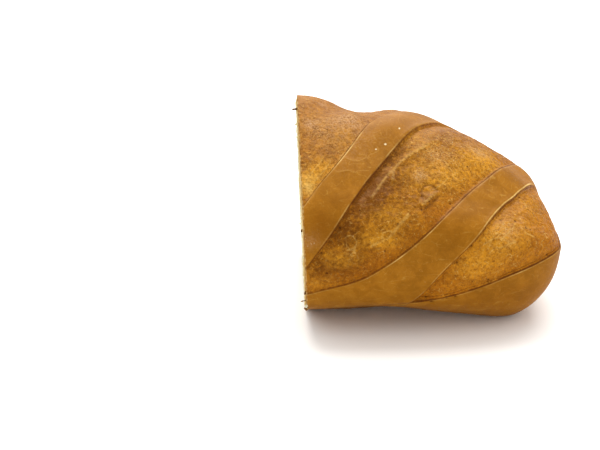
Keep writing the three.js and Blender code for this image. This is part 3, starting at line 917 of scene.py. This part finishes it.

    # single marks; the ridges are painted pale as a highlight on their crests, and one of the crack
    # lines is a painted shadow under a roll of crust
    creamShare = times(tree, f["cream"], ease(tree, grit, 0.3, 0.6, 0.45, 1.0))
    broken = ease(tree, mottle, 0.3, 0.52, 0.15, 1)
    threads = times(tree, ease(tree, f["thread"], 0.6, 0.1), broken)
    threads = times(tree, threads, ease(tree, zone, 0, 1, 0.25, 0.45))
    ridges = times(tree, ease(tree, f["ridge"], 1.2, 0.1), broken)
    cracksAndShadow = times(tree, ease(tree, f["crackAndShadow"], 1.0, 0.2), ease(tree, grit, 0.3, 0.55, 0.3, 0.8))
    cracksAndShadow = most(tree, cracksAndShadow, ease(tree, f["holes"], 0.3, 0.75))
    sparse = spots(tree, place, 4.2, 0.09, 0.2)
    dense = times(tree, spots(tree, place, 1.7, 0.2, 0.45), capped(tree, f["flecky"]))
    sparse = times(tree, sparse, ease(tree, zone, 0, 1, 0.12, 0.5))
    placed = times(tree, ease(tree, f["specks"], 0.3, 0.6), 0.9)
    flecks = most(tree, sparse, times(tree, dense, 0.7), placed)
    veinsAndRidgeHighlights = most(tree, threads, times(tree, ridges, 0.4))
    colour = coated(tree, colour, (capped(tree, creamShare), "cream"), (veinsAndRidgeHighlights, "vein"),
                    (times(tree, cracksAndShadow, 0.6), "pit"), (flecks, "fleck"))

    # lips: a pale painted highlight on the skin's side and a dark painted shadow under it; folds: a
    # dark line of painted shade
    run = noiseNode(tree, place, 8, 2)
    shadedSeams = linesAt(tree, f, slashLines["shadedSeams"])
    shadedSeams = times(tree, shadedSeams, times(tree, slashed, ease(tree, run, 0.35, 0.55, 0.45, 1)))
    lips = linesAt(tree, f, slashLines["lips"])
    lipShare = calc(tree, "MULTIPLY_ADD", ease(tree, run, 0.6, 0.45), 0.22, f["paleLip"])
    lipShare = times(tree, capped(tree, lipShare), ease(tree, grit, 0.3, 0.5, 0.55, 1))
    lips = times(tree, lips, times(tree, slashed, lipShare))
    colour = coated(tree, colour, (shadedSeams, "seamShade"), (lips, "lipHighlight"))

    # broad unevenness and the fine grain of the bake
    plain = ease(tree, slashed, 0.8, 0)
    shade = ease(tree, blotch, 0.3, 0.7, 0.94, 1.06)
    for pattern, share, strength, base in (
            (mottle, zone, 0.6, 1.0), (grit, zone, 0.22, 1.0), (grain, 1.0, 0.32, 1.0),
            (slantGrain, 1.0, 0.22, 1.0), (mottle, plain, 0.6, 1.0), (blotch, plain, 0.5, 0.95)):
        off = times(tree, calc(tree, "SUBTRACT", pattern, 0.5), share)
        shade = times(tree, shade, calc(tree, "MULTIPLY_ADD", off, strength, base))
    shadeColour = addNode(tree, "ShaderNodeCombineColor", {0: shade, 1: shade, 2: shade}).outputs[0]
    colour = mixColour(tree, 1.0, colour, shadeColour, "MULTIPLY")

    # painted sheen where the crust faces up, laid in the dust colour, and patches of flour dust
    normal = addNode(tree, "ShaderNodeNewGeometry").outputs["Normal"]
    up = addNode(tree, "ShaderNodeSeparateXYZ", {0: normal}).outputs[2]
    paintedSheen = ease(tree, up, 0.78, 1.0, 0, 0.28)
    paintedSheen = times(tree, paintedSheen, ease(tree, blotch, 0.25, 0.75, 0.6, 1.0))
    dusted = times(tree, f["dustAndSheen"], ease(tree, grit, 0.4, 0.6, 0.3, 0.9))
    clean = ease(tree, most(tree, shadedSeams, pits), 0, 1, 1, 0.15)
    colour = coated(tree, colour, (times(tree, most(tree, paintedSheen, dusted), clean), "dustAndSheen"))
    level = addNode(tree, "ShaderNodeSeparateXYZ", {0: place}).outputs[2]
    under = times(tree, ease(tree, up, -0.75, -0.97), ease(tree, level, 8, 3))
    base = mixColour(tree, ease(tree, cloud, 0.35, 0.65), look["base"], look["baseLight"])
    colour = mixColour(tree, under, colour, base)

    # the torn side: golden by its edge, pale lower down, with painted shade in the creases and a
    # painted shadow just under the cap's edge
    shredPlace = stretchedPlace(tree, place, (0, 0, 0), (1, 0.6, 0.4))
    shred = noiseNode(tree, shredPlace, 4.5, 4, 0.6, 0.5)
    fibrePlace = stretchedPlace(tree, place, (0.3, 0, 0.2), (1, 0.35, 0.3))
    fibre = noiseNode(tree, fibrePlace, 1.3, 3, 0.65, 0.3)
    ragged = swayed(tree, swayed(tree, f["pale"], cloud, 1.1), mottle, 0.9)
    paleShare = ease(tree, swayed(tree, f["belowTear"], cloud, 26), 3, 22)
    paleShare = times(tree, paleShare, ease(tree, ragged, 0.5, 0.85))
    whiteShare = times(tree, paleShare, ease(tree, blotch, 0.45, 0.62, 0, 0.8))
    torn = mixColour(tree, paleShare, look["tornGold"], look["tornPale"])
    tornSpots = times(tree, spots(tree, place, 3.0, 0.16, 0.3), 0.6)
    torn = coated(
        tree, torn, (whiteShare, "tornWhite"), (ease(tree, shred, 0.5, 0.3, 0, 0.7), "tornCreaseShade"),
        (ease(tree, fibre, 0.52, 0.3, 0, 0.6), "tornCreaseShade"),
        # painted shadow in a band just under the cap's edge, and dark spots
        (ease(tree, f["belowTear"], 2.6, 0.2, 0, 0.75), "capShadowAndSpots"), (tornSpots, "capShadowAndSpots"))
    tornShare = times(tree, ease(tree, ragged, 0.36, 0.5), ease(tree, f["belowTear"], 0.0, 0.6))
    colour = mixColour(tree, tornShare, colour, torn)
    capEdge = times(tree, lineAt(tree, f["belowTear"], -0.7, 1.0), times(tree, f["pale"], 0.6))

    # pale crumb frayed over the knife's edge, with a painted highlight along that edge
    frayedHighlight = ease(tree, noiseNode(tree, place, 2.2, 3), 0.4, 0.65, 0, 0.6)
    frayedHighlight = times(tree, ease(tree, f["fromCut"], 0.8, 0.1), frayedHighlight)
    colour = coated(tree, colour, (capEdge, "dusk"), (frayedHighlight, "fringeAndHighlight"))

    # the crust's own thickness on the cut
    onCut = ease(tree, f["fromSkin"], 0.02, 0.12)
    fromSkin = swayed(tree, f["fromSkin"], grit, 1.2)
    rim = mixColour(tree, ease(tree, fromSkin, 0.3, 1.4), look["rimOuter"], look["rimMiddle"])
    rim = coated(tree, rim, (ease(tree, fromSkin, 1.2, 2.6), "rimInner"))
    colour = mixColour(tree, onCut, colour, rim)

    # fine relief in mm, and a surface that is duller where it is torn
    height = times(tree, grain, ease(tree, zone, 0, 1, 0.10, 0.35))
    coarse = times(tree, mottle, ease(tree, zone, 0, 1, 0.10, 0.9))
    raised = times(tree, most(tree, webs, strands), zone)
    shreds = times(tree, calc(tree, "ADD", shred, fibre), tornShare)
    for pattern, strength in ((coarse, 1.0), (times(tree, grit, zone), 0.15), (raised, 0.15),
                              (times(tree, pits, zone), -0.5), (shadedSeams, -0.3), (shreds, 0.9)):
        height = calc(tree, "MULTIPLY_ADD", pattern, strength, height)
    rough = calc(tree, "ADD", ease(tree, grain, 0.2, 0.8, 0.40, 0.58), times(tree, tornShare, 0.3))
    return wired(material, tree, shader, colour, height, look["gloss"], rough)


# crumb material
crumbLook = {
    # pore and hole are painted shade for the crumb's pores and holes
    "crumb": (0.740, 0.680, 0.445), "white": (0.810, 0.770, 0.570), "pore": (0.450, 0.380, 0.190),
    "hole": (0.240, 0.190, 0.070), "nearCrust": (0.560, 0.370, 0.110),
}


def crumbMaterial():
    look = crumbLook
    material, tree, shader, place = startMaterial("softCrumb")
    pore, inward = field(tree, "pore"), field(tree, "inward")
    fine = noiseNode(tree, place, 0.7, 3, 0.7)
    patch = noiseNode(tree, place, 6, 3, 0.6)
    moved = bentPlace(tree, place, 0.5, 3)
    cells = addNode(tree, "ShaderNodeTexVoronoi", {"Vector": moved, "Scale": 1 / 1.5})
    small = addNode(tree, "ShaderNodeTexVoronoi", {"Vector": moved, "Scale": 1 / 0.85})
    present = ease(tree, noiseNode(tree, place, 2.6, 2), 0.42, 0.6)
    tiny = ease(tree, small.outputs["Distance"], 0.42, 0.12)
    tiny = times(tree, tiny, ease(tree, present, 0, 1, 0.7, 0.25))
    wide = times(tree, ease(tree, cells.outputs["Distance"], 0.42, 0.15), present)
    cupped = most(tree, tiny, wide)
    colour = mixColour(tree, ease(tree, patch, 0.38, 0.62), look["crumb"], look["white"])
    # painted shade: darker in the small cells and where the pores and holes go deeper
    colour = mixColour(tree, times(tree, cupped, 0.5), colour, look["pore"])
    colour = mixColour(tree, ease(tree, pore, 0.15, 0.9, 0, 0.65), colour, look["pore"])
    colour = mixColour(tree, ease(tree, pore, 0.9, 2.0, 0, 0.8), colour, look["hole"])
    ragged = swayed(tree, inward, patch, 4.0)
    colour = mixColour(tree, ease(tree, ragged, 3.4, -0.6), colour, look["nearCrust"])
    height = calc(tree, "MULTIPLY_ADD", cupped, -0.5, times(tree, fine, 0.5))
    return wired(material, tree, shader, colour, height, 0.1, 0.9)


# flakes of browned crust
flakeLook = {"dark": (0.060, 0.022, 0.005), "light": (0.330, 0.150, 0.030)}


def flakeMaterial():
    material, tree, shader, place = startMaterial("crustFlake")
    mottle = noiseNode(tree, place, 1.4, 3, 0.6)
    fine = noiseNode(tree, place, 0.4, 2, 0.6)
    colour = mixColour(tree, ease(tree, mottle, 0.42, 0.66), flakeLook["dark"], flakeLook["light"])
    rough = ease(tree, fine, 0.3, 0.7, 0.6, 0.85)
    return wired(material, tree, shader, colour, times(tree, fine, 0.3), 0.1, rough)


# put together
middle = np.array([dough["cutToTip"] - boxHigh.x / metre, dough["middleY"], 0.0])
crustPiece, rimOutline = makeCrust()
crustPiece.data.materials.append(crustMaterial())
print("crust made", len(crustPiece.data.vertices))
crumbPiece = makeCrumb(rimOutline)
crumbPiece.data.materials.append(crumbMaterial())
print("crumb made", len(crumbPiece.data.vertices))
carriers = (crustPiece, crumbPiece)
bitsPiece, flakesPiece = makeScraps("crumbBits", carriers), makeScraps("crustFlakes", carriers)
bitsPiece.data.materials.append(crumbPiece.data.materials[0])
flakesPiece.data.materials.append(flakeMaterial())
print("scraps made")
for piece in (*carriers, bitsPiece, flakesPiece):
    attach(piece, "root")
    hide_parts("loaf")

# floor, light
floorSet = {"size": 3.0, "colour": (0.95, 0.93, 0.90), "roughness": 0.8}
bm = bmesh.new()
bmesh.ops.create_grid(bm, x_segments=1, y_segments=1, size=floorSet["size"])
floor = newPiece("floor", bm)
floorMaterial = bpy.data.materials.new("paleFloor")
floorMaterial.use_nodes = True
floorShader = floorMaterial.node_tree.nodes["Principled BSDF"]
floorShader.inputs["Base Color"].default_value = (*floorSet["colour"], 1)
floorShader.inputs["Roughness"].default_value = floorSet["roughness"]
floor.data.materials.append(floorMaterial)

lightSet = {
    "world": 1.125, "back": 17.0, "size": (1.3, 0.9), "place": (0.1, 0.45, 1.15), "turn": -21,
}
world = bpy.data.worlds.new("softWorld")
world.use_nodes = True
sky = world.node_tree.nodes["Background"]
sky.inputs["Color"].default_value = (1, 1, 1, 1)
sky.inputs["Strength"].default_value = lightSet["world"]
bpy.context.scene.world = world
lamp = bpy.data.lights.new("softBack", "AREA")
lamp.shape = "RECTANGLE"
lamp.size, lamp.size_y = lightSet["size"]
lamp.energy = lightSet["back"]
softBack = bpy.data.objects.new("softBack", lamp)
softBack.location = lightSet["place"]
softBack.rotation_euler = (radians(lightSet["turn"]), 0, 0)
bpy.context.scene.collection.objects.link(softBack)
bpy.context.scene.view_settings.view_transform = "Standard"

print("ready")
